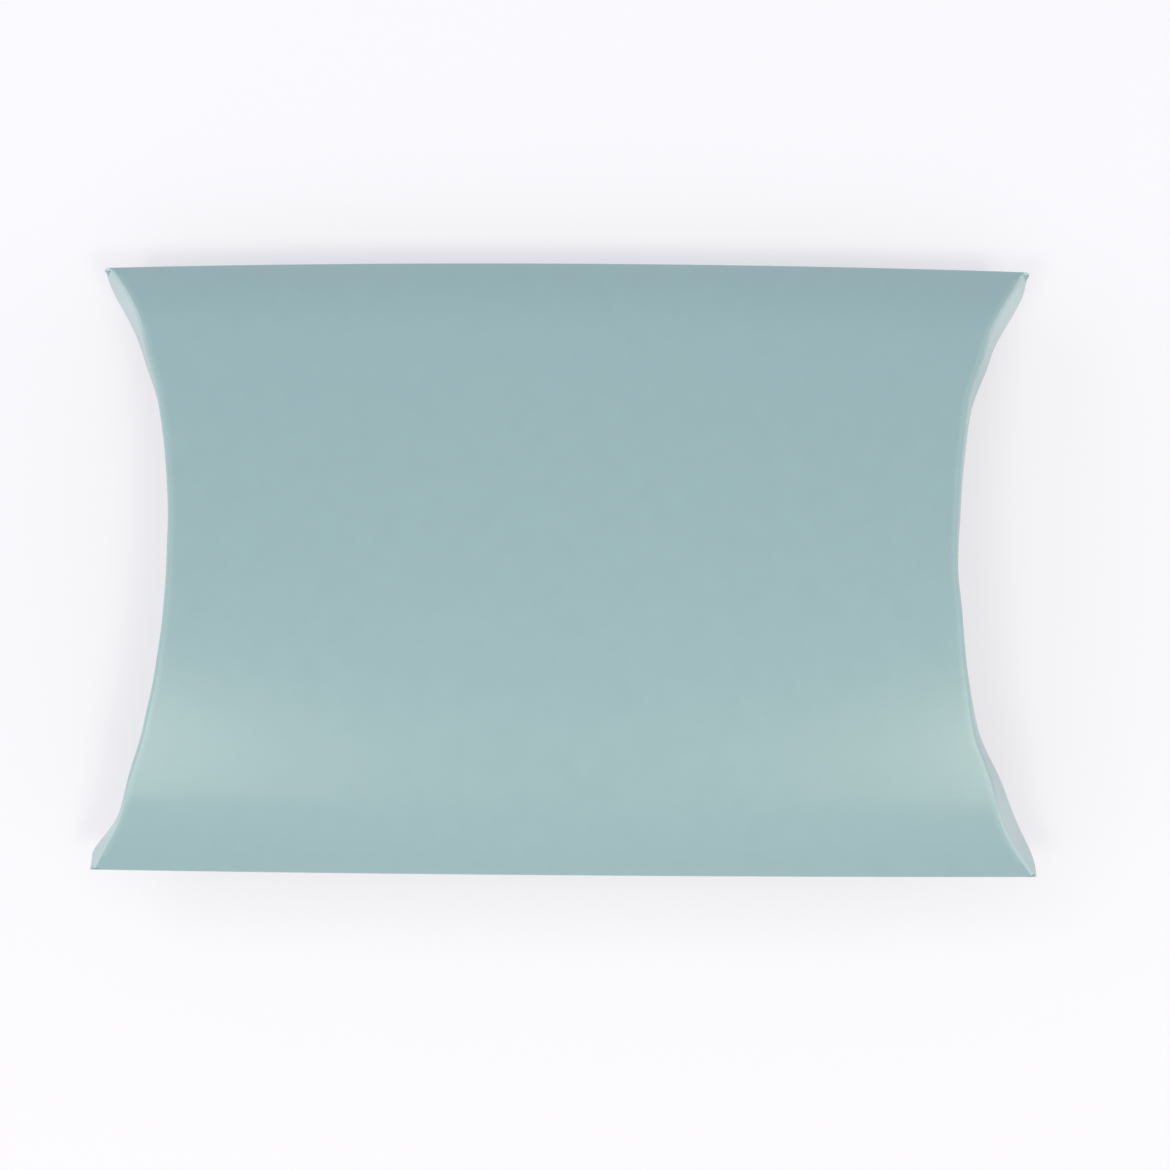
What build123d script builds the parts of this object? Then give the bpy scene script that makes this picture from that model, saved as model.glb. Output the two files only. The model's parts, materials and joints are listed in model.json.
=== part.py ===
# Pillow box: one folded sheet of card, two arched panels held shut by curved end flaps.
# X runs along the box, Y across it and Z up. The origin lies on the table, under the middle of the box.
import os
from math import atan, cos, degrees, radians, sin, sqrt

from build123d import *

# The box, in millimetres
box_length = 140.0  # along the side folds, from corner to corner
box_width = 90.8  # across the side folds, at the corners
box_height = 21.0  # from the table to the crown, at the end creases
card = 0.45  # thickness of the card
front_bow = 0.35  # the front side fold stands out by this much at mid-length
rear_bow = 1.1  # and the rear one by this much
top_sag = 1.2  # the top crown lies lower by this much at mid-length
end_dish = 12.6  # the middle of an end crease lies this far in from the corners
rest_depth = 0.1  # how deep the bottom crown is pressed flat where it rests

# How the arch is shared out, as shares of the angle from corner to crown
crown_slope_share = 1.1  # slope where the broad crown meets the tighter shoulder
fold_slope_share = 2.8  # slope at the side fold

# Side folds and the glued seam
fold_leg = 3.0  # from the tip of a side fold to the edge of a panel
fold_blunt = 1.0  # the tip stays square over this width at a corner
seam_gap = 0.3  # room for the glue between the tab and the bottom panel
glue_clearance = 0.1  # bare room above and below the glue
tab_width = 9.0  # glue tab, measured along the card
tab_end_gap = 5.0  # from a corner to the start of the tab
glue_margin = 1.2  # the glue stays this far inside the edges of the tab
panel_setback = 0.6  # the cut edge of the bottom panel stops short of the rear tip

# End flaps
outer_flap_height = 15.75  # from the top crease down to the free edge, at the middle
inner_flap_height = 12.1  # from the bottom crease up to the free edge, at the middle
outer_tilt = 10.4  # degrees that an outer flap leans out, at the middle
outer_corner_tilt = 46.0  # and at the corners, where the crease forces it out
inner_tilt = 3.0  # degrees that an inner flap leans out
tilt_power = 6  # how late the lean grows towards the corners
crease_gap = 0.1  # running gap along a crease, so that the flap can turn
outer_flap_inset = 0.6  # an outer flap ends this far in from the start of the side fold
inner_flap_inset = 2.6  # an inner flap ends further in, behind the outer one
notch_radius = 9.0  # thumb notch in the free edge of an outer flap
notch_depth = 5.0

arch_rise = (box_height + rest_depth) / 2  # from the plane of the side folds to a crown
middle_height = arch_rise - rest_depth  # height of the side folds
half_length = box_length / 2
half_width = box_width / 2
middle_half_width = half_width + (front_bow + rear_bow) / 2
middle_shift = (rear_bow - front_bow) / 2
crease_run = end_dish / arch_rise
crease_stretch = sqrt(1 + crease_run**2)
crease_angle = atan(crease_run)
strip_shares = (0.0, 0.2, 0.4, 0.6, 0.8, 1.0)
station_shares = (-1.0, -0.93, -0.84, -0.72, -0.57, -0.4, -0.2, 0.0, 0.2, 0.4, 0.57, 0.72, 0.84, 0.93, 1.0)


class Arch:
    """One cross-section of a panel: a crown arc, two tighter shoulder arcs and the start of the side folds."""

    def __init__(self, half_span, rise):
        corner_slope = atan(rise / half_span)
        self.half_span = half_span
        self.rise = rise
        self.crown_slope = crown_slope_share * corner_slope
        self.fold_slope = fold_slope_share * corner_slope
        self.joint_y = half_span - fold_leg * cos(self.fold_slope)
        self.joint_z = fold_leg * sin(self.fold_slope)
        crown_fall = (1 - cos(self.crown_slope)) / sin(self.crown_slope)
        shoulder_fall = (cos(self.crown_slope) - cos(self.fold_slope)) / (
            sin(self.fold_slope) - sin(self.crown_slope)
        )
        fall = rise - self.joint_z
        self.crown_y = (self.joint_y * shoulder_fall - fall) / (shoulder_fall - crown_fall)
        self.crown_radius = self.crown_y / sin(self.crown_slope)
        self.shoulder_radius = (self.joint_y - self.crown_y) / (sin(self.fold_slope) - sin(self.crown_slope))
        self.shoulder_end = fold_leg + self.shoulder_radius * (self.fold_slope - self.crown_slope)

    def point(self, along, depth):
        """A point this far along the card from the tip of the side fold, this deep under the outer face."""
        if along <= fold_leg:
            slope = self.fold_slope
            y = self.half_span - along * cos(slope)
            z = along * sin(slope)
        elif along <= self.shoulder_end:
            slope = self.fold_slope - (along - fold_leg) / self.shoulder_radius
            y = self.joint_y - self.shoulder_radius * (sin(self.fold_slope) - sin(slope))
            z = self.joint_z + self.shoulder_radius * (cos(slope) - cos(self.fold_slope))
        else:
            slope = self.crown_slope - (along - self.shoulder_end) / self.crown_radius
            y = self.crown_radius * sin(slope)
            z = self.rise - self.crown_radius * (1 - cos(slope))
        return y - depth * sin(slope), z - depth * cos(slope)

    def height(self, y):
        """Height of the outer face over the fold plane at a distance y from the middle."""
        y = abs(y)
        if y <= self.crown_y:
            return self.rise - self.crown_radius + sqrt(self.crown_radius**2 - y**2)
        centre_y = self.crown_y - self.shoulder_radius * sin(self.crown_slope)
        centre_z = self.joint_z - self.shoulder_radius * cos(self.fold_slope)
        return centre_z + sqrt(self.shoulder_radius**2 - (y - centre_y) ** 2)


# The arch is full at the ends and relaxes towards mid-length
end_arch = Arch(half_width, arch_rise)
top_middle_arch = Arch(middle_half_width, arch_rise - top_sag)
bottom_middle_arch = Arch(middle_half_width, arch_rise)


def section_plane(x, shift=0):
    """Cross-section plane at x: its own X is the box's Y, its own Y is Z from the fold plane up."""
    return Plane(origin=(x, shift, middle_height), x_dir=(0, 1, 0), z_dir=(1, 0, 0))


def stations(middle_arch):
    """The plane of each cross-section and its arch. The middle one is shifted, because the bows differ."""
    crease_x = half_length - end_dish
    return (
        (section_plane(-half_length), end_arch),
        (section_plane(-crease_x), end_arch),
        (section_plane(0, middle_shift), middle_arch),
        (section_plane(crease_x), end_arch),
        (section_plane(half_length), end_arch),
    )


def side_stations():
    """Cross-sections of the side folds, which follow both panels."""
    tops = stations(top_middle_arch)
    bottoms = stations(bottom_middle_arch)
    return [(plane, top, bottom) for (plane, top), (_, bottom) in zip(tops, bottoms)]


def crease_plane(side, level):
    """Plane of an end crease. side is 1 at the right end, level is 1 for the top panel, -1 for the bottom."""
    return Plane(
        origin=(side * half_length, 0, middle_height),
        x_dir=(0, side * level, 0),
        z_dir=(side, 0, level * crease_run),
    )


def panel_outline(arch, level, rear_leg):
    """Closed outline of a panel's card. It runs to the start of each fold, or at the rear on to rear_leg."""

    def place(point, sign=1):
        return sign * point[0], level * point[1]

    for depth in (0, card):
        shoulder = place(arch.point(arch.shoulder_end, depth))
        bend = place(arch.point((fold_leg + arch.shoulder_end) / 2, depth))
        joint = place(arch.point(fold_leg, depth))
        crown = place((0, arch.rise - depth))
        ThreePointArc((-joint[0], joint[1]), (-bend[0], bend[1]), (-shoulder[0], shoulder[1]))
        ThreePointArc((-shoulder[0], shoulder[1]), crown, shoulder)
        ThreePointArc(shoulder, bend, joint)
        if rear_leg < fold_leg:
            Line(joint, place(arch.point(rear_leg, depth)))
    Line(place(arch.point(fold_leg, 0), -1), place(arch.point(fold_leg, card), -1))
    Line(place(arch.point(rear_leg, 0)), place(arch.point(rear_leg, card)))


def beyond_crease(side, level):
    """What a panel loses at one end, drawn in the plane of the crease: all that lies below the curve."""
    places = [share * end_arch.joint_y for share in station_shares]
    crease = [(y, crease_stretch * end_arch.height(y)) for y in places]
    start = crease[0][1]
    edge = half_width + end_dish
    with BuildSketch(crease_plane(side, level)) as beyond:
        with BuildLine():
            Spline(*crease)
            Polyline(crease[-1], (edge, start), (edge, -end_dish), (-edge, -end_dish), (-edge, start), crease[0])
        make_face()
    return beyond.sketch


def meet(top, bottom, top_depth, bottom_depth):
    """Where a line this deep under the top leg meets one this deep under the bottom leg, seen from the middle."""
    spread = sin(top.fold_slope + bottom.fold_slope)
    inward = (top_depth * cos(bottom.fold_slope) + bottom_depth * cos(top.fold_slope)) / spread
    up = (bottom_depth * sin(top.fold_slope) - top_depth * sin(bottom.fold_slope)) / spread
    return top.half_span - inward, up


def fold_tip(side, rear):
    """What a side fold loses at one corner, seen from above, so that its end slants on into the creases."""
    run = crease_run * end_arch.joint_z
    near = half_width - fold_blunt
    far = end_arch.joint_y - fold_leg
    slant = run * (near - far) / (near - end_arch.joint_y)
    with BuildSketch() as tip:
        with BuildLine():
            Polyline(
                (side * half_length, rear * near),
                (side * half_length, rear * far),
                (side * (half_length - slant), rear * far),
                close=True,
            )
        make_face()
    return tip.sketch


# Top panel
with BuildPart() as top_panel:
    for plane, arch in stations(top_middle_arch):
        with BuildSketch(plane):
            with BuildLine():
                panel_outline(arch, 1, fold_leg)
            make_face()
    loft()
    for side in (-1, 1):
        extrude(beyond_crease(side, 1), amount=end_dish, both=True, mode=Mode.SUBTRACT)
top_panel.part.label = "top_panel"

# Bottom panel: it runs on to the rear tip, over the glue tab, and its crown is pressed flat where it rests
with BuildPart() as bottom_panel:
    for plane, arch in stations(bottom_middle_arch):
        with BuildSketch(plane):
            with BuildLine():
                panel_outline(arch, -1, panel_setback)
            make_face()
    loft()
    for side in (-1, 1):
        extrude(beyond_crease(side, -1), amount=end_dish, both=True, mode=Mode.SUBTRACT)
    split(bisect_by=Plane.XY, keep=Keep.TOP)
bottom_panel.part.label = "bottom_panel"

# Front fold: a sharp strip that joins the two panels
with BuildPart() as front_fold:
    for plane, top, bottom in side_stations():
        outer = meet(top, bottom, 0, 0)
        inner = meet(top, bottom, card, card)
        top_legs = [top.point(fold_leg, depth) for depth in (0, card)]
        bottom_legs = [bottom.point(fold_leg, depth) for depth in (card, 0)]
        with BuildSketch(plane):
            with BuildLine():
                Polyline(
                    (-outer[0], outer[1]),
                    (-top_legs[0][0], top_legs[0][1]),
                    (-top_legs[1][0], top_legs[1][1]),
                    (-inner[0], inner[1]),
                    (-bottom_legs[0][0], -bottom_legs[0][1]),
                    (-bottom_legs[1][0], -bottom_legs[1][1]),
                    close=True,
                )
            make_face()
    loft()
    for side in (-1, 1):
        extrude(fold_tip(side, -1), amount=box_height, mode=Mode.SUBTRACT)
front_fold.part.label = "front_fold"

# Rear fold: its lower leg turns in over the bottom panel, with room for the glue
with BuildPart() as rear_fold:
    for plane, top, bottom in side_stations():
        tab_depths = (card + seam_gap, 2 * card + seam_gap)
        outer = meet(top, bottom, 0, tab_depths[0])
        inner = meet(top, bottom, card, tab_depths[1])
        top_legs = [top.point(fold_leg, depth) for depth in (0, card)]
        bottom_legs = [bottom.point(fold_leg, depth) for depth in reversed(tab_depths)]
        with BuildSketch(plane):
            with BuildLine():
                Polyline(
                    outer,
                    top_legs[0],
                    top_legs[1],
                    inner,
                    (bottom_legs[0][0], -bottom_legs[0][1]),
                    (bottom_legs[1][0], -bottom_legs[1][1]),
                    close=True,
                )
            make_face()
    loft()
    for side in (-1, 1):
        extrude(fold_tip(side, 1), amount=box_height, mode=Mode.SUBTRACT)
rear_fold.part.label = "rear_fold"


def seam_strip(arch, margin, near_depth, far_depth):
    """Outline of a strip that follows the inside of the bottom panel, from the rear fold inwards."""
    start = fold_leg + margin
    length = tab_width - 2 * margin
    faces = []
    for depth in (near_depth, far_depth):
        points = [arch.point(start + share * length, depth) for share in strip_shares]
        faces.append([(y, -z) for y, z in points])
        Spline(*faces[-1])
    Line(faces[0][0], faces[1][0])
    Line(faces[0][-1], faces[1][-1])


def strip_end(side, gap):
    """What a seam strip loses at one end, seen from above, so that it slants and clears the end creases."""
    near = half_width + rear_bow
    far = end_arch.joint_y - 2 * tab_width
    start = half_length - gap
    with BuildSketch() as waste:
        with BuildLine():
            Polyline(
                (side * start, near),
                (side * (half_length + gap), near),
                (side * (half_length + gap), far),
                (side * (start - (near - far)), far),
                close=True,
            )
        make_face()
    return waste.sketch


# Glue tab and the line of glue under it
with BuildPart() as glue_tab:
    for plane, arch in stations(bottom_middle_arch):
        with BuildSketch(plane):
            with BuildLine():
                seam_strip(arch, 0, card + seam_gap, 2 * card + seam_gap)
            make_face()
    loft()
    for side in (-1, 1):
        extrude(strip_end(side, tab_end_gap), amount=box_height, mode=Mode.SUBTRACT)
glue_tab.part.label = "glue_tab"

with BuildPart() as glue_line:
    for plane, arch in stations(bottom_middle_arch):
        with BuildSketch(plane):
            with BuildLine():
                seam_strip(arch, glue_margin, card + glue_clearance, card + seam_gap - glue_clearance)
            make_face()
    loft()
    for side in (-1, 1):
        extrude(strip_end(side, tab_end_gap + glue_margin), amount=box_height, mode=Mode.SUBTRACT)
glue_line.part.label = "glue_line"


def flap_section(side, level, y, flap_height, tilt):
    """Outline of a flap's card at y, from the crease to the free edge."""
    rise = end_arch.height(y)
    crease_x = half_length - crease_run * rise
    lean = radians(tilt)
    fall = rise * flap_height / arch_rise / cos(lean)
    start = (crease_x + crease_gap * sin(lean), rise - crease_gap * cos(lean))
    end = (crease_x + fall * sin(lean), rise - fall * cos(lean))
    mitre = card / cos(crease_angle - lean)
    outline = (
        start,
        end,
        (end[0] - card * cos(lean), end[1] - card * sin(lean)),
        (start[0] - mitre * cos(crease_angle), start[1] - mitre * sin(crease_angle)),
    )
    with BuildSketch(Plane.XZ.offset(-y)) as section:
        with BuildLine():
            Polyline(*((side * out, middle_height + level * up) for out, up in outline), close=True)
        make_face()
    return section.sketch


def outer_flap_tilt(y):
    """An outer flap leans out more towards the corners, in degrees."""
    return outer_tilt + (outer_corner_tilt - outer_tilt) * abs(y / half_width) ** tilt_power


# End flaps: an outer one on each top crease, an inner one behind it on each bottom crease
flaps = []
for end, side in (("left", -1), ("right", 1)):
    with BuildPart() as outer_flap:
        places = [share * (end_arch.joint_y - outer_flap_inset) for share in station_shares]
        loft([flap_section(side, 1, y, outer_flap_height, outer_flap_tilt(y)) for y in places])
        notch_height = box_height - outer_flap_height - notch_radius + notch_depth
        with BuildSketch(Plane.YZ):
            with Locations((0, notch_height)):
                Circle(notch_radius)
        extrude(amount=box_length, both=True, mode=Mode.SUBTRACT)
    outer_flap.part.label = end + "_outer_flap"
    flaps.append(outer_flap)

    with BuildPart() as inner_flap:
        places = [share * (end_arch.joint_y - inner_flap_inset) for share in station_shares]
        loft([flap_section(side, -1, y, inner_flap_height, inner_tilt) for y in places])
    inner_flap.part.label = end + "_inner_flap"
    flaps.append(inner_flap)

os.makedirs("parts", exist_ok=True)
for piece in (top_panel, bottom_panel, front_fold, rear_fold, glue_tab, glue_line, *flaps):
    export_step(piece.part, "parts/" + piece.part.label + ".step")
print("crown radius", round(end_arch.crown_radius, 1), "shoulder radius", round(end_arch.shoulder_radius, 1))
print("fold slope", round(degrees(end_arch.fold_slope), 1), "crease slope", round(degrees(crease_angle), 1))
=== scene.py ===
import json
import math

import bpy
import numpy as np
from mathutils import Euler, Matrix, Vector


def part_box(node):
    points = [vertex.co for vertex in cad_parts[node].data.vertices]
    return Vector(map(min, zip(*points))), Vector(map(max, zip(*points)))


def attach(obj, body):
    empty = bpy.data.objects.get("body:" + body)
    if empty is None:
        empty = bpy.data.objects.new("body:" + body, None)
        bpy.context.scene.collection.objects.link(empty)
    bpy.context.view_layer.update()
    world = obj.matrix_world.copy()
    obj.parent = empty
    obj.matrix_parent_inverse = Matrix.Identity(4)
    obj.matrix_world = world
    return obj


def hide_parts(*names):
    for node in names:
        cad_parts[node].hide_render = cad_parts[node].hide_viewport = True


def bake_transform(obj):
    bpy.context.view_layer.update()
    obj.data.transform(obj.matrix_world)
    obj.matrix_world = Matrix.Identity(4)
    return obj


# the pillow box is one folded sheet of card: each area between two creases is a piece of its own here
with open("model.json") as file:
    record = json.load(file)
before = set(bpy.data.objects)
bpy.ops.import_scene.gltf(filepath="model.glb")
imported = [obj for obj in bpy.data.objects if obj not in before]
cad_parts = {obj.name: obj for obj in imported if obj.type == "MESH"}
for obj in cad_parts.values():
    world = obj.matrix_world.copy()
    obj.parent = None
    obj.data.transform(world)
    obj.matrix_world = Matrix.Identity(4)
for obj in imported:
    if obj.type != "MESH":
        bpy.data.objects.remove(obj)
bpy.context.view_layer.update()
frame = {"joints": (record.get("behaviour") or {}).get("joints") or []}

# the folded card in metres, slopes as shares of the angle from corner to crown
cardShape = {
    "thickness": 0.00045,
    "bendRadius": 0.0005,  # outside radius of every fold and crease
    "foldLeg": 0.003,  # from the tip of a side fold to the edge of a panel
    "crownSlopeShare": 1.1,
    "foldSlopeShare": 2.8,
    "frontBow": 0.00035,  # the side folds stand out by this much at mid-length
    "rearBow": 0.0011,
    "topSag": 0.0012,  # the top crown lies lower by this much at mid-length
    "sagPower": 1.5,
    "restDepth": 0.0001,  # how deep the bottom crown is pressed flat on the table
    "seamGap": 0.00016,  # room for the glue between the tab and the bottom panel
    "sharpAngle": 35,  # degrees; edges sharper than this aren't shaded as round
}
# folding by hand leaves the end creases a little out of their planes. -1 is the left end and 1 the right one
creaseStrays = {
    "along": {  # how far out, from the front to the rear, at places one gap apart
        -1: (0.0002, 0.0006, 0.0001, -0.0002, -0.0004, -0.0005, -0.0007, -0.0007, -0.0006, -0.0001, 0),
        1: (0.0002, 0.0006, -0.0003, -0.0001, 0, -0.0004, -0.0003, -0.0004, -0.0006, 0.0003, 0.001),
    },
    "gap": 0.008,
    "corners": {-1: (-0.00075, -0.0004), 1: (-0.00005, -0.0004)},  # and how far at the front and rear corners
    "cornerGap": 0.005,  # a corner's stray dies away over this distance
}

# places that the frame holds
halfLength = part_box("front_fold")[1].x
frontMiddle = -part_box("front_fold")[0].y
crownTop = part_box("top_panel")[1].z
jointPlaces = {joint["name"]: joint["pos_m"] for joint in frame["joints"]}
creaseMiddle = jointPlaces["right_outer_crease"][0]

thickness = cardShape["thickness"]
bendRadius = cardShape["bendRadius"]
foldLeg = cardShape["foldLeg"]
archRise = (crownTop + cardShape["restDepth"]) / 2  # from the fold plane to a crown
middleHeight = archRise - cardShape["restDepth"]
creaseRun = (halfLength - creaseMiddle) / archRise  # the creases lie in planes of this slope
meanBow = (cardShape["frontBow"] + cardShape["rearBow"]) / 2
cornerSlope = math.atan2(archRise, frontMiddle - meanBow)
tipAngle = cardShape["foldSlopeShare"] * cornerSlope
tipAllowance = bendRadius * (1 / math.sin(tipAngle) - 1)  # the rounded tip then ends where the sharp one would
halfWidth = frontMiddle - cardShape["frontBow"] + tipAllowance


def archShape(halfSpan, rise):
    # crown arc, tighter shoulder arc and straight leg, each tangent to the next:
    # two slopes are shares of the corner angle, and the two radii follow from the width and the height
    corner = np.arctan2(rise, halfSpan)
    crown = cardShape["crownSlopeShare"] * corner
    fold = cardShape["foldSlopeShare"] * corner
    jointY = halfSpan - foldLeg * np.cos(fold)
    jointZ = foldLeg * np.sin(fold)
    crownFall = (1 - np.cos(crown)) / np.sin(crown)
    shoulderFall = (np.cos(crown) - np.cos(fold)) / (np.sin(fold) - np.sin(crown))
    crownY = (jointY * shoulderFall - (rise - jointZ)) / (shoulderFall - crownFall)
    crownRadius = crownY / np.sin(crown)
    shoulderRadius = (jointY - crownY) / (np.sin(fold) - np.sin(crown))
    shoulderEnd = foldLeg + shoulderRadius * (fold - crown)
    return {
        "halfSpan": halfSpan,
        "rise": rise,
        "crown": crown,
        "fold": fold,
        "jointY": jointY,
        "jointZ": jointZ,
        "crownRadius": crownRadius,
        "shoulderRadius": shoulderRadius,
        "shoulderEnd": shoulderEnd,
        "half": shoulderEnd + crownRadius * crown,
    }


def archPoint(arch, along, depth):
    # the point this far along the card from the tip of a side fold, and this deep under its outer face:
    # the slope stays on the leg and then falls evenly with the distance along each arc
    onLeg = along <= foldLeg
    onShoulder = along <= arch["shoulderEnd"]
    shoulderSlope = arch["fold"] - (along - foldLeg) / arch["shoulderRadius"]
    crownSlope = arch["crown"] - (along - arch["shoulderEnd"]) / arch["crownRadius"]
    slope = np.where(onLeg, arch["fold"], np.where(onShoulder, shoulderSlope, crownSlope))
    legY = arch["halfSpan"] - along * np.cos(slope)
    shoulderY = arch["jointY"] - arch["shoulderRadius"] * (np.sin(arch["fold"]) - np.sin(slope))
    crownY = arch["crownRadius"] * np.sin(slope)
    legZ = along * np.sin(slope)
    shoulderZ = arch["jointZ"] + arch["shoulderRadius"] * (np.cos(slope) - np.cos(arch["fold"]))
    crownZ = arch["rise"] - arch["crownRadius"] * (1 - np.cos(slope))
    y = np.where(onLeg, legY, np.where(onShoulder, shoulderY, crownY))
    z = np.where(onLeg, legZ, np.where(onShoulder, shoulderZ, crownZ))
    return y - depth * np.sin(slope), z - depth * np.cos(slope)


endArch = archShape(halfWidth, archRise)
endReach = endArch["half"]  # along the card from the crown to the tip


def sectionArch(level, share):
    # the arch at a share of the length, -1 to 1: wider towards mid-length by the bow times one less the share
    # squared, and the top one lower by the sag times a power of the same
    relaxed = 1 - share**2
    sag = cardShape["topSag"] * relaxed ** cardShape["sagPower"] if level > 0 else 0 * share
    return archShape(halfWidth + meanBow * relaxed, archRise - sag)


def sideShift(share):
    # half the difference of the two bows, times one less the share squared
    return (cardShape["rearBow"] - cardShape["frontBow"]) / 2 * (1 - share**2)


def strayOut(side, y):
    # how far the crease strays outwards at y: cosine bells, one for each place, that overlap half and half,
    # and half a bell at each corner
    values = np.array(creaseStrays["along"][side])
    places = (np.arange(len(values)) - (len(values) - 1) / 2) * creaseStrays["gap"]
    away = np.clip(np.abs(y[..., None] - places) / creaseStrays["gap"], 0, 1)
    fromCorner = np.clip((halfWidth - np.abs(y)) / creaseStrays["cornerGap"], 0, 1)
    frontStray, rearStray = creaseStrays["corners"][side]
    atCorner = np.where(y < 0, frontStray, rearStray) * (1 + np.cos(np.pi * fromCorner)) / 2
    return ((1 + np.cos(np.pi * away)) / 2 * values).sum(-1) + atCorner


def creaseEnd(side, reach):
    # how far out the end crease lies at this reach across the panel: half the length, less the height of the
    # arch there times the slope of the crease's plane, and its stray
    y, height = archPoint(endArch, endReach - np.abs(reach), 0)
    return halfLength - creaseRun * height + strayOut(side, np.sign(reach) * y)


def panelPoint(level, share, reach, depth):
    # a point of a panel: share runs from one end crease to the other, reach is the arc length from the crown,
    # and the arch of each section is stretched to carry the same reach
    arch = sectionArch(level, share)
    onPanel = np.abs(reach) <= endReach - foldLeg
    stretched = foldLeg + (1 - np.abs(reach) / (endReach - foldLeg)) * (arch["half"] - foldLeg)
    along = np.where(onPanel, stretched, endReach - np.abs(reach))
    y, z = archPoint(arch, along, depth)
    y = np.sign(reach) * y + sideShift(share)
    x = share * np.where(share < 0, creaseEnd(-1, reach), creaseEnd(1, reach))
    return np.stack(np.broadcast_arrays(x, y, middleHeight + level * z), -1)


def unit(vectors):
    # each vector over its own length
    return vectors / np.linalg.norm(vectors, axis=-1, keepdims=True)


def dot(a, b):
    # the sum of the products, kept as a column
    return (a * b).sum(-1, keepdims=True)


outerFlap = {
    "height": 0.01575,  # from the top crease down to the free edge, at the middle
    "lean": 10.4,  # degrees that it leans out, at the middle
    "cornerLean": {-1: (71, 41), 1: (42, 35)},  # at the front and rear corners of each end
    "leanPower": {-1: (15.5, 6.5), 1: (4, 6.5)},  # how late the lean grows towards them
    "endAlong": (0.0008, 0.0016),  # its front and rear side edges, along the card from the corners
    "notchRadius": 0.009,  # thumb notch in the free edge
    "notchDepth": 0.005,
    "notchCorner": 0.0004,
    "blendDepth": 0.009,  # how far from the crease the card still bends as the flap opens
}
innerFlap = {
    "height": 0.0121,
    "lean": 3.0,
    "cornerLean": {-1: (3, 3), 1: (3, 3)},
    "leanPower": {-1: (6, 6), 1: (6, 6)},
    "endAlong": (0.0062, 0.0062),
    "notchRadius": 0,
    "notchDepth": 0,
    "notchCorner": 0.0004,
    "blendDepth": 0.0085,
}


def flapLean(flap, side, reach):
    # the lean grows with a high power of the distance from the middle, as far as the free edge stays
    # level with the corner
    y, height = archPoint(endArch, endReach - np.abs(reach), 0)
    frontLean, rearLean = flap["cornerLean"][side]
    frontPower, rearPower = flap["leanPower"][side]
    cornerLean = np.where(reach < 0, frontLean, rearLean)
    power = np.where(reach < 0, frontPower, rearPower)
    lean = flap["lean"] + (cornerLean - flap["lean"]) * (y / halfWidth) ** power
    corner = strayOut(side, np.sign(reach) * halfWidth)
    room = creaseRun * height - strayOut(side, np.sign(reach) * y) + corner
    most = np.arctan(room / (height * flap["height"] / archRise))
    return np.minimum(np.radians(lean), most)


nearCrease = 0.99  # share of the way out at which a panel's direction is read


def creaseFrame(flap, side, level, reach):
    # at each point of a crease: the sharp corner, the two faces' directions square to it, and the bend
    # that rounds it, an arc that touches both faces
    corner = panelPoint(level, np.full_like(reach, side), reach, 0)
    inwards = panelPoint(level, np.full_like(reach, side * nearCrease), reach, 0) - corner
    tangent = unit(np.gradient(corner, reach, axis=0))
    lean = flapLean(flap, side, reach)
    hanging = np.stack([side * np.sin(lean), 0 * lean, -level * np.cos(lean)], -1)
    panelWay = unit(inwards - dot(inwards, tangent) * tangent)
    flapWay = unit(hanging - dot(hanging, tangent) * tangent)
    opening = np.arccos(np.clip(dot(panelWay, flapWay), -1, 1))
    setback = bendRadius / np.tan(opening / 2)
    centre = corner + unit(panelWay + flapWay) * bendRadius / np.sin(opening / 2)
    panelNormal = unit(corner + setback * panelWay - centre)
    flapNormal = unit(corner + setback * flapWay - centre)
    return {
        "corner": corner,
        "hanging": hanging,
        "lean": lean,
        "setback": setback,
        "panelWay": panelWay,
        "flapWay": flapWay,
        "centre": centre,
        "panelNormal": panelNormal,
        "flapNormal": flapNormal,
        "turn": np.pi - opening,
    }


def bendPoints(crease, radius, turns):
    # the arc of the bend: its normal turns steadily from the panel's to the flap's
    turn = crease["turn"][None]
    t = turns[:, None, None]
    normal = (
        np.sin((1 - t) * turn) * crease["panelNormal"][None] + np.sin(t * turn) * crease["flapNormal"][None]
    ) / np.sin(turn)
    return crease["centre"][None] + radius * normal


def rested(points):
    # nothing of the card goes below the surface that the box rests on
    points = points.copy()
    points[..., 2] = np.maximum(points[..., 2], 0)
    return points


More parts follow.
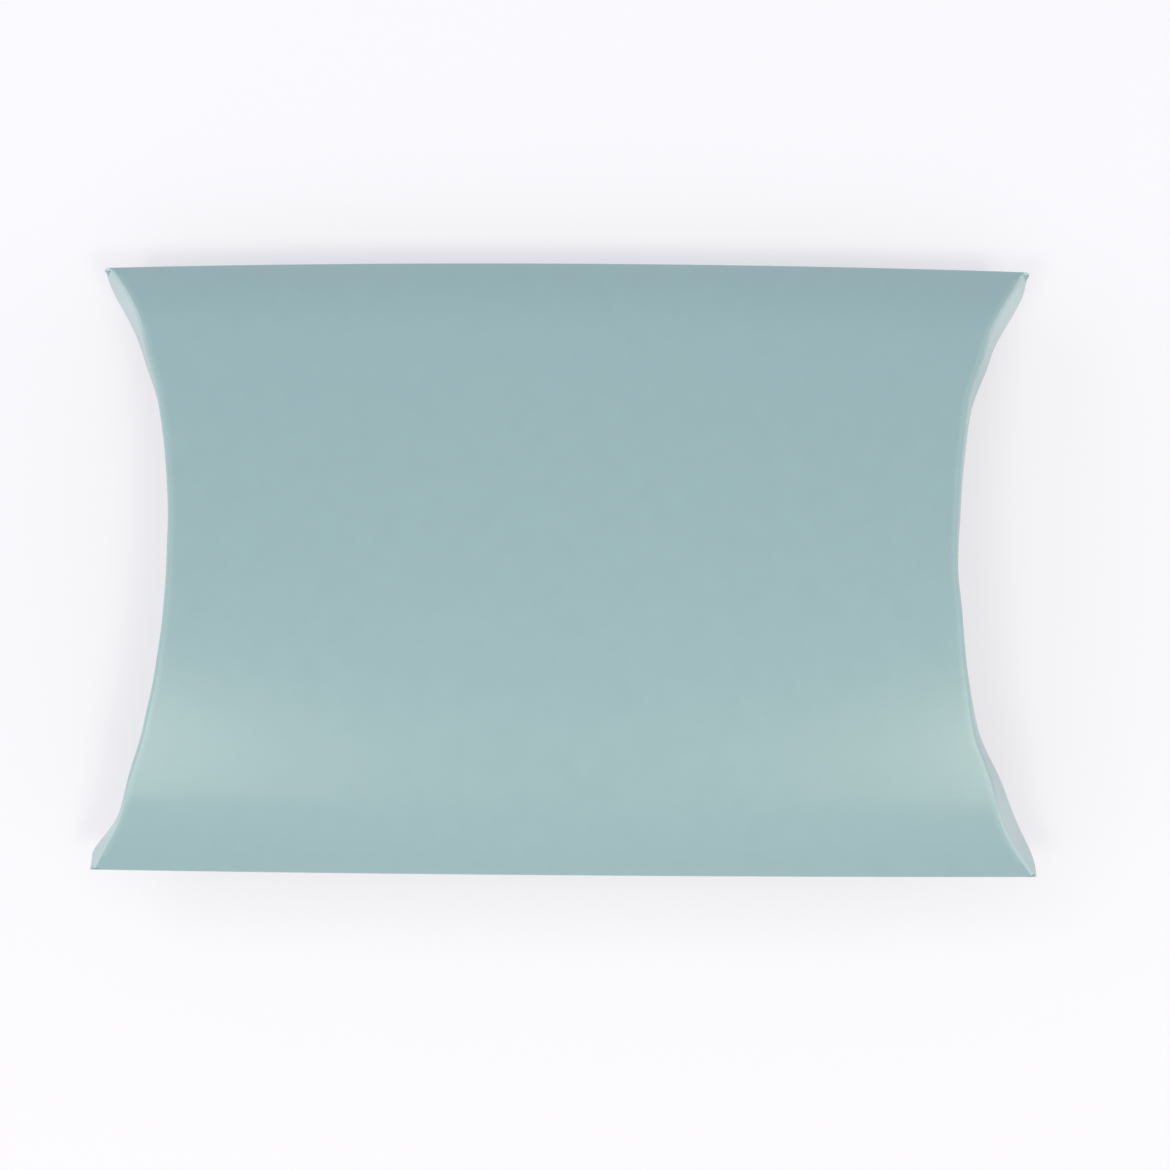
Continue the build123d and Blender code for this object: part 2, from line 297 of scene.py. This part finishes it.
def shellPiece(name, outer, inner, wearAndPaintedLight, looks):
    # a closed shell from two grids of rows by columns, stitched along the four borders;
    # looks: one material for the two sides, one for the cut edges
    rows, columns = outer.shape[:2]
    points = np.concatenate([outer.reshape(-1, 3), inner.reshape(-1, 3)])
    index = np.arange(rows * columns).reshape(rows, columns)
    a, b, c, d = index[:-1, :-1], index[:-1, 1:], index[1:, 1:], index[1:, :-1]
    outside = np.stack([a, b, c, d], -1).reshape(-1, 4)
    inside = outside[:, ::-1] + rows * columns
    border = np.concatenate([index[0, :-1], index[:-1, -1], index[-1, :0:-1], index[:0:-1, 0]])
    following = np.roll(border, -1)
    edges = np.stack([following, border, border + rows * columns, following + rows * columns], -1)
    faces = np.concatenate([outside, inside, edges])
    kinds = np.repeat([0, 1], [len(outside) + len(inside), len(edges)])
    # the volume inside, as the sum of each triangle's share, tells which way the faces turn
    corners = points[faces]
    volume = sum(
        (corners[:, 0] * np.cross(corners[:, i], corners[:, i + 1])).sum() for i in (1, 2)
    )
    if volume < 0:
        faces = faces[:, ::-1]
    mesh = bpy.data.meshes.new(name)
    mesh.from_pydata(points, [], faces)
    mesh.polygons.foreach_set("material_index", kinds)
    mesh.polygons.foreach_set("use_smooth", np.ones(len(faces), bool))
    mesh.set_sharp_from_angle(angle=math.radians(cardShape["sharpAngle"]))
    # paleness per point: real crease wear, a painted highlight on the creases and painted light at the flap
    # corners
    attribute = mesh.attributes.new("wearAndPaintedLight", "FLOAT", "POINT")
    attribute.data.foreach_set("value", np.concatenate([wearAndPaintedLight.ravel(), wearAndPaintedLight.ravel()]).astype(np.float32))
    mesh.update()
    piece = bpy.data.objects.new(name, mesh)
    bpy.context.scene.collection.objects.link(piece)
    for material in looks:
        mesh.materials.append(material)
    return piece


# materials

# the card is coloured through: both faces alike, the cut edges paler
faceFinish = {
    "colour": (0.219, 0.329, 0.333),
    # the pale colour: real wear along the creases, a painted highlight on them and painted light at the flap
    # corners
    "wornAndLit": (0.405, 0.50, 0.49),
    "roughness": 0.32,
    "mottle": 0.03,  # how far clouds and fibres change the brightness
    "fibre": 0.02,
}
edgeFinish = {
    "colour": (0.36, 0.47, 0.47),
    "wornAndLit": (0.45, 0.55, 0.55),
    "roughness": 0.8,
    "mottle": 0.05,
    "fibre": 0.10,
}
glueFinish = {
    "colour": (0.78, 0.74, 0.62),
    "wornAndLit": (0.8, 0.78, 0.7),
    "roughness": 0.35,
    "mottle": 0.04,
    "fibre": 0.0,
}
grain = {
    "cloudScale": 260,
    "cloudDetail": 3,
    "fibreScale": 5200,
    "fibreDetail": 2,
    "fibreStretch": (0.35, 1, 1),
    "speckScale": 9000,
    "speckDetail": 3,
    "noiseRoughness": 0.6,
    "wornAndLitLeast": 0.2,  # the paleness of wear and painted light shows this much between the fibres, and fully on them
    "roughnessSpread": 0.04,
    "specular": 0.5,
    "sheen": 0.12,
    "sheenRoughness": 0.4,
    "bumpStrength": 0.25,
    "bumpHeight": 0.00002,
}


def paperMaterial(name, finish):
    # the colour, mixed with the pale one by the attribute for wear and painted light (real wear along the
    # creases, a painted highlight on them and painted light at the flap corners), times clouds a few
    # millimetres wide and fibres of tenths of a millimetre; fibres and finer specks together raise the surface
    material = bpy.data.materials.new(name)
    material.use_nodes = True
    nodes = material.node_tree.nodes
    links = material.node_tree.links
    shader = nodes["Principled BSDF"]
    shader.inputs["Specular IOR Level"].default_value = grain["specular"]
    shader.inputs["Sheen Weight"].default_value = grain["sheen"]
    shader.inputs["Sheen Roughness"].default_value = grain["sheenRoughness"]
    place = nodes.new("ShaderNodeTexCoord").outputs["Object"]

    def noise(scale, detail, stretch=(1, 1, 1)):
        mapping = nodes.new("ShaderNodeMapping")
        mapping.inputs["Scale"].default_value = stretch
        links.new(place, mapping.inputs["Vector"])
        texture = nodes.new("ShaderNodeTexNoise")
        texture.inputs["Scale"].default_value = scale
        texture.inputs["Detail"].default_value = detail
        texture.inputs["Roughness"].default_value = grain["noiseRoughness"]
        links.new(mapping.outputs["Vector"], texture.inputs["Vector"])
        return texture.outputs["Fac"]

    def scaled(value, low, high):
        ranged = nodes.new("ShaderNodeMapRange")
        ranged.inputs["To Min"].default_value = low
        ranged.inputs["To Max"].default_value = high
        links.new(value, ranged.inputs["Value"])
        return ranged.outputs["Result"]

    def joined(first, second, operation):
        node = nodes.new("ShaderNodeMath")
        node.operation = operation
        links.new(first, node.inputs[0])
        links.new(second, node.inputs[1])
        return node.outputs["Value"]

    def around(value, middle, part):
        return scaled(value, middle - part, middle + part)

    clouds = noise(grain["cloudScale"], grain["cloudDetail"])
    fibres = noise(grain["fibreScale"], grain["fibreDetail"], grain["fibreStretch"])
    specks = noise(grain["speckScale"], grain["speckDetail"])
    brightness = joined(around(clouds, 1, finish["mottle"]), around(fibres, 1, finish["fibre"]), "MULTIPLY")
    colourNode = nodes.new("ShaderNodeMix")
    colourNode.data_type = "RGBA"
    colourNode.inputs["A"].default_value = (*finish["colour"], 1)
    colourNode.inputs["B"].default_value = (*finish["wornAndLit"], 1)
    # paleness per point: real crease wear, a painted highlight on the creases and painted light at the flap
    # corners
    wearAndPaintedLight = nodes.new("ShaderNodeAttribute")
    wearAndPaintedLight.attribute_name = "wearAndPaintedLight"
    patchy = joined(wearAndPaintedLight.outputs["Fac"], scaled(fibres, grain["wornAndLitLeast"], 1.0), "MULTIPLY")
    links.new(patchy, colourNode.inputs["Factor"])
    tint = nodes.new("ShaderNodeVectorMath")
    tint.operation = "SCALE"
    links.new(colourNode.outputs["Result"], tint.inputs["Vector"])
    links.new(brightness, tint.inputs["Scale"])
    links.new(tint.outputs["Vector"], shader.inputs["Base Color"])
    links.new(around(clouds, finish["roughness"], grain["roughnessSpread"]), shader.inputs["Roughness"])
    bump = nodes.new("ShaderNodeBump")
    bump.inputs["Strength"].default_value = grain["bumpStrength"]
    bump.inputs["Distance"].default_value = grain["bumpHeight"]
    links.new(joined(fibres, specks, "ADD"), bump.inputs["Height"])
    links.new(bump.outputs["Normal"], shader.inputs["Normal"])
    return material


cardFace = paperMaterial("cardFace", faceFinish)
cardEdge = paperMaterial("cardEdge", edgeFinish)
driedGlue = paperMaterial("driedGlue", glueFinish)
cardLooks = (cardFace, cardEdge)
print("materials made")

# panels

panelDetail = {
    "lengthSteps": 96,
    "acrossSteps": 84,
    "legSteps": 8,  # on the bottom panel's leg, under the seam
    "fadeWidth": 0.0008,  # a crease's bend fades out over this distance, past the flap's side edge
    "wearAndPaintedLight": 0.4,  # how pale the card is made beside a crease, and how far in: real wear and a painted highlight
    "wearAndHighlightWidth": 0.0003,
}


def spread(start, end, steps, tight=0.00006):
    # even steps, with one more close to each end so that the shading meets the next piece
    inner = np.linspace(start, end, steps)
    return np.concatenate([[start, start + tight], inner[1:-1], [end - tight, end]])


def fadeOut(reach, flap):
    # 1 where the flap hangs, 0 beyond its side edge
    frontAlong, rearAlong = flap["endAlong"]
    edge = endReach - np.where(reach < 0, frontAlong, rearAlong)
    beyond = edge + panelDetail["fadeWidth"] - np.abs(reach)
    return np.clip(beyond / panelDetail["fadeWidth"], 0, 1)[:, None]


def panelPiece(name, level, rearReach, flap):
    # the panel's points on a grid of share by reach, on the outer face and one thickness under it; at both ends
    # the grid stops short by the setback of the crease's bend
    half = endReach - foldLeg
    reach = spread(-half, half, panelDetail["acrossSteps"])
    if rearReach > half:
        reach = np.concatenate([reach, spread(half, rearReach, panelDetail["legSteps"])[1:]])
    share = np.linspace(-1, 1, panelDetail["lengthSteps"])
    outer = panelPoint(level, share[:, None], reach[None], 0)
    inner = panelPoint(level, share[:, None], reach[None], thickness)
    for row, side in ((0, -1), (-1, 1)):
        crease = creaseFrame(flap, side, level, reach)
        back = crease["setback"] * crease["panelWay"] * fadeOut(reach, flap)
        outer[row] += back
        inner[row] += back
    # paler beside each end crease: real wear and a painted highlight
    fromCrease = (1 - np.abs(share)) * halfLength
    wornAndLit = panelDetail["wearAndPaintedLight"] * np.exp(-fromCrease / panelDetail["wearAndHighlightWidth"])
    wearAndPaintedLight = wornAndLit[:, None] * np.ones(len(reach))[None]
    piece = shellPiece(name, rested(outer), inner, wearAndPaintedLight, cardLooks)
    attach(piece, "shell")
    return piece


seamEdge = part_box("bottom_panel")[1].y  # the bottom panel's cut edge, just short of the rear tip
seamSetback = (halfWidth + cardShape["rearBow"] - seamEdge) / math.cos(tipAngle)
topPanel = panelPiece("topPanelCard", 1, endReach - foldLeg, outerFlap)
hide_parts("top_panel")
bottomPanel = panelPiece("bottomPanelCard", -1, endReach - seamSetback, innerFlap)
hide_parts("bottom_panel")
print("panels made")

# side folds

foldDetail = {
    "lengthSteps": 96,
    "legSteps": 7,
    "arcSteps": 9,
    # the fold's tip paler: real wear and a painted highlight
    "wearAndPaintedLight": 0.5,
    "wearAndHighlightWidth": 0.0005,
}


def foldPiece(name, rear, lowerDepth):
    # a V of card: a leg from the top panel to the tip, an arc around it and a leg to the lower panel;
    # the lower leg may lie deeper, over the other card of the seam
    share = np.linspace(-1, 1, foldDetail["lengthSteps"])[:, None]
    top = sectionArch(1, share)
    low = sectionArch(-1, share)
    a, b = top["fold"], low["fold"]
    opening = a + b
    tipY = top["halfSpan"] - lowerDepth * np.cos(a) / np.sin(opening)
    tipZ = lowerDepth * np.sin(a) / np.sin(opening)
    setback = bendRadius / np.tan(opening / 2)
    lean = (a - b) / 2  # the way from the tip to the centre of the bend
    centreY = tipY - np.cos(lean) * bendRadius / np.sin(opening / 2)
    centreZ = tipZ + np.sin(lean) * bendRadius / np.sin(opening / 2)
    steps = np.linspace(0, 1, foldDetail["arcSteps"])[None]
    turn = (np.pi / 2 - a) + (opening - np.pi) * steps  # the angle of the bend's normal, leg to leg
    legs = spread(0, 1, foldDetail["legSteps"])[None]
    topStartY = top["halfSpan"] - foldLeg * np.cos(a)
    topStartZ = foldLeg * np.sin(a)
    topEndY = tipY - setback * np.cos(a)
    topEndZ = tipZ + setback * np.sin(a)
    lowStartY = tipY - setback * np.cos(b)
    lowStartZ = tipZ - setback * np.sin(b)
    lowEndY = low["halfSpan"] - foldLeg * np.cos(b) - lowerDepth * np.sin(b)
    lowEndZ = -(foldLeg * np.sin(b) - lowerDepth * np.cos(b))
    grids = []
    for depth in (0, thickness):
        y = np.concatenate([
            topStartY + (topEndY - topStartY) * legs[:, :-1] - depth * np.sin(a),
            centreY + (bendRadius - depth) * np.cos(turn),
            lowStartY + (lowEndY - lowStartY) * legs[:, 1:] - depth * np.sin(b),
        ], 1)
        z = np.concatenate([
            topStartZ + (topEndZ - topStartZ) * legs[:, :-1] - depth * np.cos(a),
            centreZ + (bendRadius - depth) * np.sin(turn),
            lowStartZ + (lowEndZ - lowStartZ) * legs[:, 1:] + depth * np.cos(b),
        ], 1)
        grids.append((y, z))
    sign = 1 if rear else -1
    endY, endZ = grids[0][0][:1], grids[0][1][:1]
    outEnd = halfLength - creaseRun * np.abs(endZ)
    x = share * (outEnd + np.where(share < 0, strayOut(-1, sign * endY), strayOut(1, sign * endY)))
    shells = [
        np.stack([x, sign * y + sideShift(share), middleHeight + z], -1) for y, z in grids
    ]
    topReach = sign * (endReach - foldLeg + (foldLeg - setback[0]) * legs[0, :-1])
    for row, side in ((0, -1), (-1, 1)):
        order = np.argsort(topReach)
        crease = creaseFrame(outerFlap, side, 1, topReach[order])
        back = crease["setback"] * crease["panelWay"] * fadeOut(topReach[order], outerFlap)
        restored = np.empty_like(back)
        restored[order] = back
        for shell in shells:
            shell[row, : len(topReach)] += restored
    # the tip of the fold is painted paler: real wear and a painted highlight
    fromTip = np.abs(np.linspace(-1, 1, x.shape[1])) * foldLeg
    wornAndLit = foldDetail["wearAndPaintedLight"] * np.exp(-fromTip / foldDetail["wearAndHighlightWidth"])
    wearAndPaintedLight = np.ones((x.shape[0], 1)) * wornAndLit[None]
    piece = shellPiece(name, shells[0], shells[1], wearAndPaintedLight, cardLooks)
    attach(piece, "shell")
    return piece


frontFold = foldPiece("frontFoldCard", False, 0)
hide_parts("front_fold")
rearFold = foldPiece("rearFoldCard", True, thickness + cardShape["seamGap"])
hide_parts("rear_fold")
print("side folds made")

# glued seam

seam = {
    "tabWidth": 0.009,
    "tabEndGap": 0.005,  # from a corner to the start of the tab
    "glueMargin": 0.0012,  # the glue stays this far inside the edges of the tab
    "glueClearance": 0.00004,
    "glueWobble": 0.0004,  # how far its edges run off the straight
    "waves": (37, 61),
    "waveShift": 1,
    "lengthSteps": 90,
    "acrossSteps": 14,
}


def seamPiece(name, margin, nearDepth, farDepth, wobble, looks):
    # a strip along the inside of the bottom panel: its ends slant, and its edges wobble by the mean of
    # two sine waves
    across = np.linspace(0, 1, seam["acrossSteps"])[None]
    share = np.linspace(-1, 1, seam["lengthSteps"])[:, None]
    longWave, shortWave = seam["waves"]
    uneven = wobble * (np.sin(share * longWave) + np.sin(share * shortWave + seam["waveShift"])) / 2
    width = seam["tabWidth"] - 2 * margin
    along = foldLeg + margin + uneven * (1 - 2 * across) + width * across
    arch = sectionArch(-1, share)
    near = halfWidth + meanBow
    grids = []
    for depth in (nearDepth, farDepth):
        y, z = archPoint(arch, along, depth)
        end = halfLength - seam["tabEndGap"] - margin - (near - y)
        grids.append(np.stack([share * end, y + sideShift(share), middleHeight - z], -1))
    piece = shellPiece(name, grids[0], grids[1], np.zeros(grids[0].shape[:2]), looks)
    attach(piece, "shell")
    return piece


tabDepth = thickness + cardShape["seamGap"]
glueTab = seamPiece("glueTabCard", 0, tabDepth, tabDepth + thickness, 0, cardLooks)
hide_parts("glue_tab")
glueDepth = thickness + seam["glueClearance"]
glueFloor = tabDepth - seam["glueClearance"]
glueLooks = (driedGlue, driedGlue)
glueLine = seamPiece("glueLineBead", seam["glueMargin"], glueDepth, glueFloor, seam["glueWobble"], glueLooks)
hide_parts("glue_line")
print("seam made")

# end flaps

flapDetail = {
    "acrossSteps": 110,
    "bendSteps": 9,
    "dropSteps": 22,
    "creaseWearAndHighlight": 0.4,  # how pale the card is painted on the crease, real wear with a painted highlight, and at the corners, painted light
    "cornerPaintedLight": 1.0,
    "cornerLightStart": 0.027,  # from here to the corners the flap is painted paler, a painted reflection of the bright floor and side light
    "cornerLightEnd": 0.04,
}


def flapPiece(name, flap, side, level):
    # the bend at the crease, then straight lines down to the free edge, which a thumb notch may cut:
    # each line falls by the same share of the arch's height, and the notch is the top of a circle whose
    # corners are rounded by the root of the gap squared and the corner squared
    frontAlong, rearAlong = flap["endAlong"]
    reach = np.linspace(frontAlong - endReach, endReach - rearAlong, flapDetail["acrossSteps"])
    crease = creaseFrame(flap, side, level, reach)
    y = crease["corner"][:, 1]
    height = np.abs(crease["corner"][:, 2] - middleHeight)
    fall = height * flap["height"] / archRise
    if flap["notchDepth"] > 0:
        circle = np.sqrt(np.maximum(flap["notchRadius"] ** 2 - y**2, 0))
        notched = crownTop - flap["height"] - flap["notchRadius"] + flap["notchDepth"] + circle
        free = middleHeight + height - fall
        gap = notched - free
        ends = free + (gap + np.sqrt(gap**2 + flap["notchCorner"] ** 2)) / 2
        fall = middleHeight + height - ends
    length = (fall / np.cos(crease["lean"]))[:, None]
    turns = np.linspace(0, 1, flapDetail["bendSteps"])
    outer = bendPoints(crease, bendRadius, turns)
    inner = bendPoints(crease, bendRadius - thickness, turns)
    start = crease["corner"] + crease["setback"] * crease["flapWay"]
    end = crease["corner"] + length * crease["hanging"]
    shares = np.linspace(0, 1, flapDetail["dropSteps"])[1:, None, None]
    drop = start[None] + (end - start)[None] * shares
    normal = unit(np.cross(np.gradient(drop, axis=1), np.gradient(drop, axis=0)))
    normal *= np.sign(dot(normal, np.array([side, 0, 0.0])))
    outer = np.concatenate([outer, drop])
    inner = np.concatenate([inner, drop - thickness * normal])
    # painted light: the flap turns paler towards the corners, where it faces the bright floor and the side
    # lamps; on the bend, real crease wear plus a painted highlight
    towardsCorner = (np.abs(y) - flapDetail["cornerLightStart"]) / (flapDetail["cornerLightEnd"] - flapDetail["cornerLightStart"])
    towardsCorner = np.clip(towardsCorner, 0, 1)
    cornerLit = towardsCorner**2 * (3 - 2 * towardsCorner) * flapDetail["cornerPaintedLight"]
    creased = flapDetail["creaseWearAndHighlight"] * np.concatenate([np.sin(turns * np.pi), np.zeros(len(shares))])
    wearAndPaintedLight = np.maximum(creased[:, None], cornerLit[None])
    return shellPiece(name, rested(outer), inner, wearAndPaintedLight, cardLooks)


def hangFlap(piece):
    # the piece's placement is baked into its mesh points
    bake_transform(piece)


for side, end in ((-1, "left"), (1, "right")):
    outer = flapPiece(end + "OuterFlapCard", outerFlap, side, 1)
    hangFlap(outer)
    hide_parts(end + "_outer_flap")
    inner = flapPiece(end + "InnerFlapCard", innerFlap, side, -1)
    hangFlap(inner)
    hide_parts(end + "_inner_flap")
print("flaps made")

# floor, light and camera

studio = {
    "floorRadius": 40,
    "floorSides": 96,
    "floorGap": 0.00002,  # the floor lies just under the card that rests on it
    "floorRoughness": 0.9,
    "floorColour": (0.748, 0.736, 0.742),
    "backdropColour": (0.908, 0.899, 0.927),
    "backdropShare": 0.57,  # of what the camera sees of the floor near the box, and all of it further away
    "fadeStart": 0.2,
    "fadeEnd": 0.8,
    "skyColour": (0.96, 1.0, 1.16),
    "skyStrength": 0.765,
}
frontLamps = {
    "low": {"place": (0, -1.0, 0.75), "size": (1.2, 0.5), "power": 1.0, "colour": (1.0, 0.98, 0.92)},
    "left": {"place": (-0.4, -0.42, 1.0), "size": (0.3, 0.25), "power": 3.0, "colour": (1.0, 0.94, 0.80)},
    "right": {"place": (0.4, -0.42, 1.0), "size": (0.3, 0.25), "power": 3.8, "colour": (1.0, 0.93, 0.72)},
}
sideLamps = {
    "rear": {"place": (-0.7, 0.6, 0.7), "size": (0.5, 0.4), "power": 1.5, "colour": (0.96, 0.98, 1.0)},
    "left": {"place": (-1.4, -0.1, 0.55), "size": (1.6, 1.0), "power": 6.0, "colour": (1.0, 0.98, 0.96)},
    "right": {"place": (1.4, -0.1, 0.45), "size": (1.6, 0.9), "power": 5.4, "colour": (1.0, 0.97, 0.95)},
}


def seenRays(nodes, links):
    # 1 for rays from the camera, also by way of gloss or glass, and 0 for those that light the box
    rays = nodes.new("ShaderNodeLightPath")
    total = rays.outputs["Is Camera Ray"]
    for kind in ("Is Glossy Ray", "Is Transmission Ray"):
        either = nodes.new("ShaderNodeMath")
        either.operation = "MAXIMUM"
        links.new(total, either.inputs[0])
        links.new(rays.outputs[kind], either.inputs[1])
        total = either.outputs["Value"]
    return total


def makeFloor():
    # a plain disc, which takes the shadow for one part and shows the backdrop's own colour for the other
    turns = np.linspace(0, 2 * np.pi, studio["floorSides"], endpoint=False)
    rim = np.stack([np.cos(turns), np.sin(turns), 0 * turns], -1) * studio["floorRadius"]
    rim[:, 2] = -studio["floorGap"]
    mesh = bpy.data.meshes.new("floor")
    mesh.from_pydata(rim, [], [list(range(len(rim)))])
    floor = bpy.data.objects.new("floor", mesh)
    bpy.context.scene.collection.objects.link(floor)
    material = bpy.data.materials.new("paleFloor")
    material.use_nodes = True
    nodes = material.node_tree.nodes
    links = material.node_tree.links
    shader = nodes["Principled BSDF"]
    shader.inputs["Base Color"].default_value = (*studio["floorColour"], 1)
    shader.inputs["Roughness"].default_value = studio["floorRoughness"]
    plain = nodes.new("ShaderNodeEmission")
    plain.inputs["Color"].default_value = (*studio["backdropColour"], 1)
    place = nodes.new("ShaderNodeTexCoord")
    away = nodes.new("ShaderNodeVectorMath")
    away.operation = "LENGTH"
    links.new(place.outputs["Object"], away.inputs[0])
    faded = nodes.new("ShaderNodeMapRange")
    faded.inputs["From Min"].default_value = studio["fadeStart"]
    faded.inputs["From Max"].default_value = studio["fadeEnd"]
    faded.inputs["To Min"].default_value = studio["backdropShare"]
    links.new(away.outputs["Value"], faded.inputs["Value"])
    share = nodes.new("ShaderNodeMath")
    share.operation = "MULTIPLY"
    links.new(seenRays(nodes, links), share.inputs[0])
    links.new(faded.outputs["Result"], share.inputs[1])
    mix = nodes.new("ShaderNodeMixShader")
    links.new(share.outputs["Value"], mix.inputs["Fac"])
    links.new(shader.outputs["BSDF"], mix.inputs[1])
    links.new(plain.outputs["Emission"], mix.inputs[2])
    links.new(mix.outputs["Shader"], nodes["Material Output"].inputs["Surface"])
    mesh.materials.append(material)


def areaLamp(name, lamp):
    # a soft lamp that faces the middle of the box
    light = bpy.data.lights.new(name, "AREA")
    light.shape = "RECTANGLE"
    light.size, light.size_y = lamp["size"]
    light.energy = lamp["power"]
    light.color = lamp["colour"]
    obj = bpy.data.objects.new(name, light)
    obj.location = lamp["place"]
    obj.rotation_euler = (-Vector(lamp["place"])).to_track_quat("-Z", "Y").to_euler()
    bpy.context.scene.collection.objects.link(obj)


def makeSky():
    # even light from all around; the camera sees the backdrop's colour instead
    world = bpy.data.worlds.new("studio")
    world.use_nodes = True
    nodes = world.node_tree.nodes
    links = world.node_tree.links
    sky = nodes["Background"]
    sky.inputs["Color"].default_value = (*studio["skyColour"], 1)
    sky.inputs["Strength"].default_value = studio["skyStrength"]
    backdrop = nodes.new("ShaderNodeBackground")
    backdrop.inputs["Color"].default_value = (*studio["backdropColour"], 1)
    mix = nodes.new("ShaderNodeMixShader")
    links.new(seenRays(nodes, links), mix.inputs["Fac"])
    links.new(sky.outputs["Background"], mix.inputs[1])
    links.new(backdrop.outputs["Background"], mix.inputs[2])
    links.new(mix.outputs["Shader"], nodes["World Output"].inputs["Surface"])
    bpy.context.scene.world = world


makeFloor()
makeSky()
for end, lamp in frontLamps.items():
    areaLamp(end + "FrontLamp", lamp)
for end, lamp in sideLamps.items():
    areaLamp(end + "SideLamp", lamp)

viewpoint = {
    "focalPixels": 2000,
    "framePixels": 1170,
    "sensorWidth": 36,
    "clipStart": 0.01,
    "distance": 0.298,
    "turn": (5.04, 0.53, 0.42),  # degrees from looking straight down
    "target": (0.00338, -0.00278, middleHeight),
}


def makeCamera():
    # it stands back from the target by the distance, along its own line of sight
    camera = bpy.data.cameras.new("camera")
    camera.sensor_width = viewpoint["sensorWidth"]
    camera.lens = viewpoint["focalPixels"] / viewpoint["framePixels"] * camera.sensor_width
    camera.clip_start = viewpoint["clipStart"]
    obj = bpy.data.objects.new("camera", camera)
    turn = Euler([math.radians(v) for v in viewpoint["turn"]], "XYZ")
    back = turn.to_matrix() @ Vector((0, 0, 1))
    obj.rotation_euler = turn
    obj.location = Vector(viewpoint["target"]) + back * viewpoint["distance"]
    bpy.context.scene.collection.objects.link(obj)
    bpy.context.scene.camera = obj


makeCamera()
bpy.context.scene.view_settings.view_transform = "Standard"
print("floor, light and camera set")
